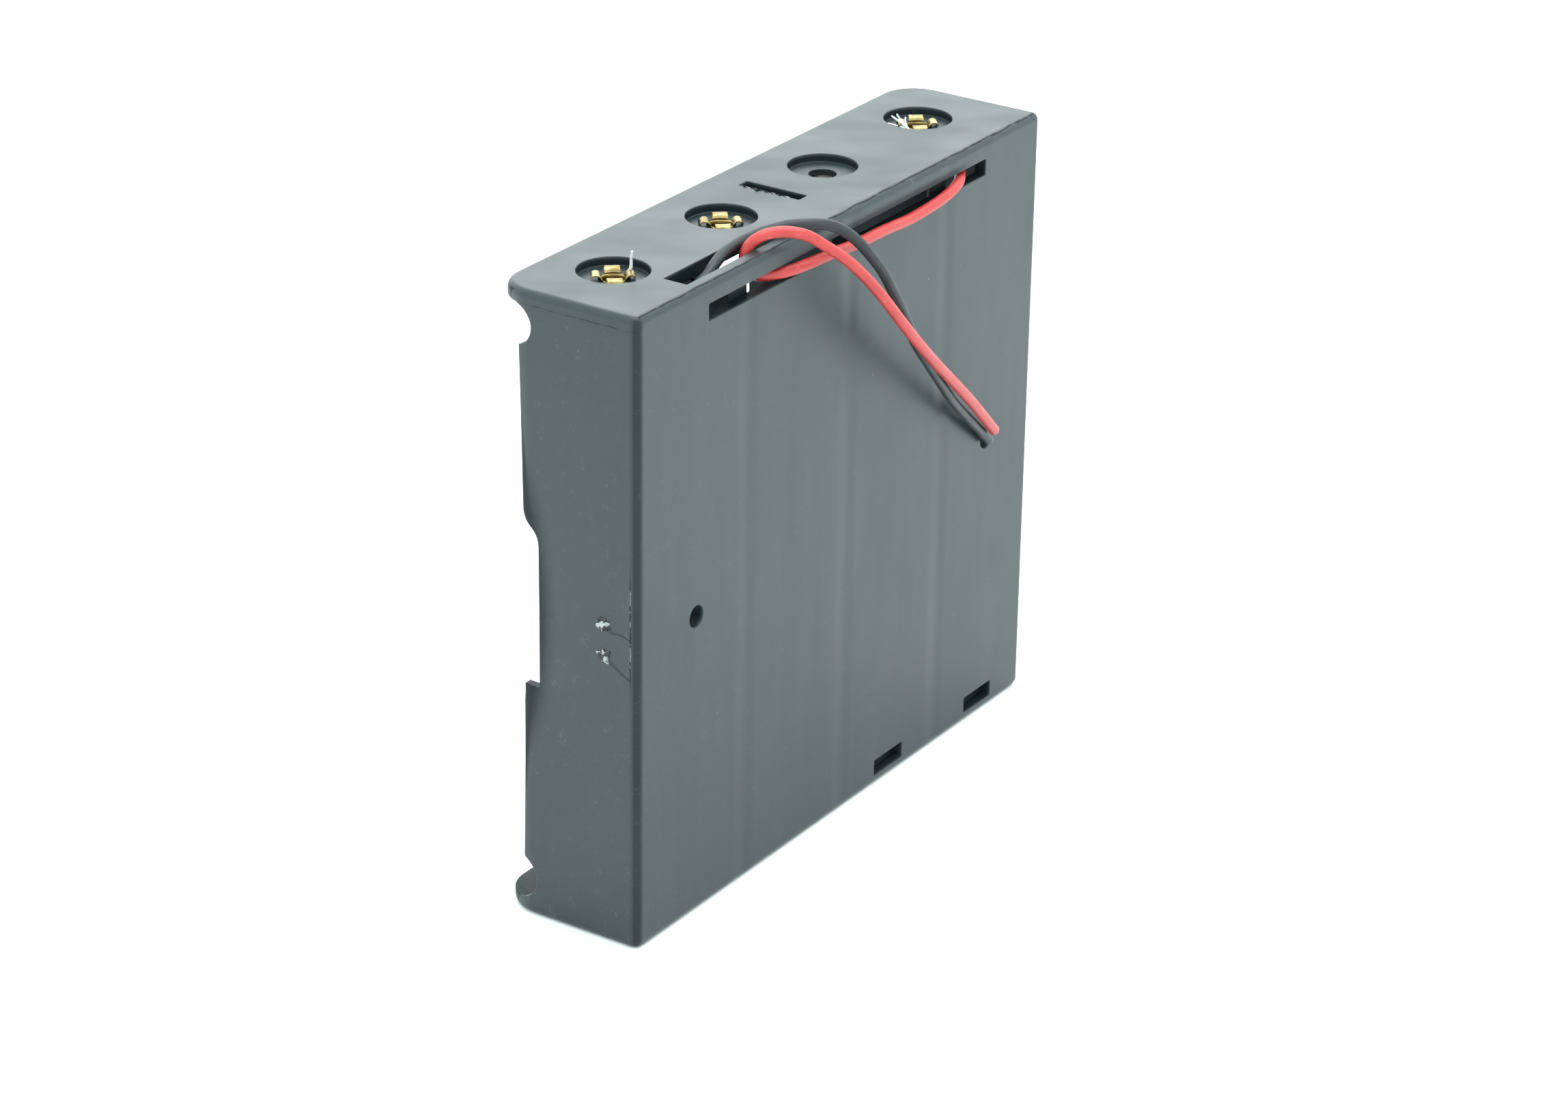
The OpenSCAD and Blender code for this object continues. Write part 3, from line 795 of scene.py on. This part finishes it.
def add_barrel(bm, spot, up, flange_z, top_z):
    """Turned tube with a round-edged flange; its profile is followed from the bore outwards."""
    outer = BORE_R + EYELET_WALL
    profile = [
        (BORE_R, top_z), (BORE_R, flange_z + 0.3 * MM), (BORE_R + 0.08 * MM, flange_z + 0.06 * MM),
        (BORE_R + 0.3 * MM, flange_z), (FLANGE_R - 0.1 * MM, flange_z), (FLANGE_R, flange_z + 0.1 * MM),
        (FLANGE_R - 0.05 * MM, flange_z + EYELET_WALL), (outer, flange_z + EYELET_WALL),
        (outer, top_z),
    ]
    sides = 48
    rings = []
    for r, z in profile:
        ring = []
        for k in range(sides):
            turn = math.tau * k / sides
            ring.append(bm.verts.new(spot + Vector((r * math.cos(turn), r * math.sin(turn), up * z))))
        rings.append(ring)
    for near, far in zip(rings, rings[1:] + rings[:1]):
        for k in range(sides):
            j = (k + 1) % sides
            bm.faces.new((near[k], near[j], far[j], far[k]))


def add_petal(bm, spot, up, turn, root_z, luck, curl, torn):
    """Strip that rolls outwards and down from the barrel, curved at its root, torn at its end."""
    rows, columns = 12, 8
    out = Vector((math.cos(turn), math.sin(turn), 0))
    along = Vector((-math.sin(turn), math.cos(turn), 0))
    sheets = []
    for inner in (0, 1):
        sheet = []
        for i in range(rows + 1):
            row = []
            for k in range(columns + 1):
                t, s = i / rows, 2 * k / columns - 1
                tear = torn * noise.noise(Vector((s * 2.5, luck, 3))) * t
                angle = math.pi - (math.pi - math.radians(curl)) * t * (1 + tear)
                radius = PETAL_R * (1 + 0.1 * luck * t) - inner * EYELET_WALL * (1 - 0.25 * t)
                reach = BORE_R + PETAL_R + radius * math.cos(angle)
                ragged = 0.06 * noise.noise(Vector((t * 4, luck * 5, s)))
                offset = s * PETAL_WIDTH / 2 * (1 + ragged - 0.1 * t)
                round_off = (reach - math.sqrt(max(reach ** 2 - offset ** 2, 0))) * (1 - t) ** 2 * 0.5
                height = root_z + radius * math.sin(angle)
                height += 0.05 * MM * noise.noise(Vector((t * 2, s * 2, luck * 9)))
                place = spot + out * (reach - round_off) + along * offset
                row.append(bm.verts.new(place + Vector((0, 0, up * height))))
            sheet.append(row)
        sheets.append(sheet)
    top, under = sheets
    for i in range(rows):
        for k in range(columns):
            bm.faces.new((top[i][k], top[i + 1][k], top[i + 1][k + 1], top[i][k + 1]))
            bm.faces.new((under[i][k], under[i][k + 1], under[i + 1][k + 1], under[i + 1][k]))
        for k in (0, columns):
            bm.faces.new((top[i][k], under[i][k], under[i + 1][k], top[i + 1][k]))
    for k in range(columns):
        for i in (0, rows):
            bm.faces.new((top[i][k], top[i][k + 1], under[i][k + 1], under[i][k]))


def make_eyelet(node, brass, torn):
    """Hollow rivet whose end is split into four petals, each rolled back a little differently."""
    low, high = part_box(node)
    spot = (low + high) / 2
    up = 1 if spot.z > HEIGHT / 2 else -1
    spot.z = 0
    petal_top, flange = (high.z, low.z) if up > 0 else (-low.z, -high.z)
    root = petal_top - PETAL_R
    chance = random.Random(node)
    bm = bmesh.new()
    add_barrel(bm, spot, up, flange, root + 0.05 * MM)
    for k in range(4):
        turn = math.radians(40 + 90 * k) * up
        luck = chance.uniform(-1, 1)
        add_petal(bm, spot, up, turn, root, luck, chance.uniform(-5, 35), torn)
    bmesh.ops.recalc_face_normals(bm, faces=bm.faces)
    piece = finish_piece(f"{node}_rolled", bm, brass, [node])
    smooth = piece.modifiers.new("smooth", "SUBSURF")
    smooth.levels = 1
    smooth.render_levels = 1


SPRING_TURNS = 4.5
FLAT_TURNS = 0.6
DROP_IN_TURNS = 0.2
CONTACT_TURNS = 0.8
CLEAR_OF_CONTACT = 0.62 * MM
SPRING_BASE_R = 4.1 * MM
SPRING_TIP_R = 2.9 * MM


def make_spring(cell, steel):
    """Conical coil between the plate and the contact coil, and the contact coil itself."""
    ring_low, ring_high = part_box(f"cell_{cell}_spring_end")
    low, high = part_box(f"cell_{cell}_spring")
    up = 1 if high.z > HEIGHT / 2 else -1
    plate_z = high.z if up > 0 else low.z
    ring_z = (ring_low.z + ring_high.z) / 2
    wire_r = (ring_high.z - ring_low.z) / 2
    spot = Vector((CELL_X[cell - 1], CELL_Y, 0))
    end_drop = abs(plate_z - ring_z)
    clear_drop = end_drop - 2 * wire_r - CLEAR_OF_CONTACT
    clear_turn = SPRING_TURNS - DROP_IN_TURNS

    def drop(turn):
        """Depth from the plate: flat on it, an even pitch, then down into the contact coil."""
        if turn < FLAT_TURNS:
            return wire_r
        if turn < clear_turn:
            share = (turn - FLAT_TURNS) / (clear_turn - FLAT_TURNS)
            return wire_r + (clear_drop - wire_r) * share
        return clear_drop + (end_drop - clear_drop) * (turn - clear_turn) / DROP_IN_TURNS

    def wire_at(turn, r, depth):
        angle = math.tau * turn
        return spot + Vector((r * math.cos(angle), up * r * math.sin(angle), plate_z - up * depth))

    steps = 200
    coil = []
    for i in range(steps + 1):
        turn = SPRING_TURNS * i / steps
        r = SPRING_BASE_R + (SPRING_TIP_R - SPRING_BASE_R) * turn / SPRING_TURNS
        coil.append(wire_at(turn, r, drop(turn)))
    bm = bmesh.new()
    add_tube(bm, coil, [wire_r] * len(coil), 14)
    piece = finish_piece(f"cell_{cell}_conical_coil", bm, steel, [f"cell_{cell}_spring"])
    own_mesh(piece)
    steps = 48
    ring = []
    for i in range(steps + 1):
        ring.append(wire_at(SPRING_TURNS + CONTACT_TURNS * i / steps, SPRING_TIP_R, end_drop))
    line, radii = rounded_end(ring, wire_r)
    bm = bmesh.new()
    add_tube(bm, line, radii, 14)
    finish_piece(f"cell_{cell}_contact_coil", bm, steel, [f"cell_{cell}_spring_end"],
                 body=f"cell_{cell}_contact")


def make_floor():
    """Plain pale floor, just under the holder."""
    bm = bmesh.new()
    bmesh.ops.create_grid(bm, x_segments=8, y_segments=8, size=3)
    mesh = bpy.data.meshes.new("floor")
    bm.to_mesh(mesh)
    bm.free()
    mesh.materials.append(floor_paper())
    floor = bpy.data.objects.new("floor", mesh)
    floor.location.z = -0.02 * MM
    bpy.context.scene.collection.objects.link(floor)


make_camera()
make_leads()
make_housing(housing_plastic())
torn_black = torn_plastic()
dark_crack = crack_shadow()
make_gate_mark("upper_gate_mark", 39.3, torn_black)
make_gate_mark("lower_gate_mark", 35.4, torn_black)
make_all_cracks(dark_crack)
make_all_flash(torn_black)
make_top_seam(dark_crack)
make_plates(metal("nickel_plate", (0.56, 0.55, 0.52), (0.47, 0.46, 0.44), (0.36, 0.33, 0.28), 0.3))
rolled_brass = metal("rolled_brass", (0.4, 0.3, 0.13), (0.22, 0.155, 0.06), (0.07, 0.045, 0.015),
                     0.28, per_metre=900)
for eyelet in EYELETS:
    make_eyelet(eyelet, rolled_brass, torn=0.25 if eyelet == "top_bridge_eyelet" else 0.1)
spring_wire = metal("spring_wire", (0.42, 0.42, 0.41), (0.34, 0.34, 0.33), (0.2, 0.19, 0.18), 0.25)
for cell in CELLS:
    make_spring(cell, spring_wire)
make_floor()
light_the_studio()
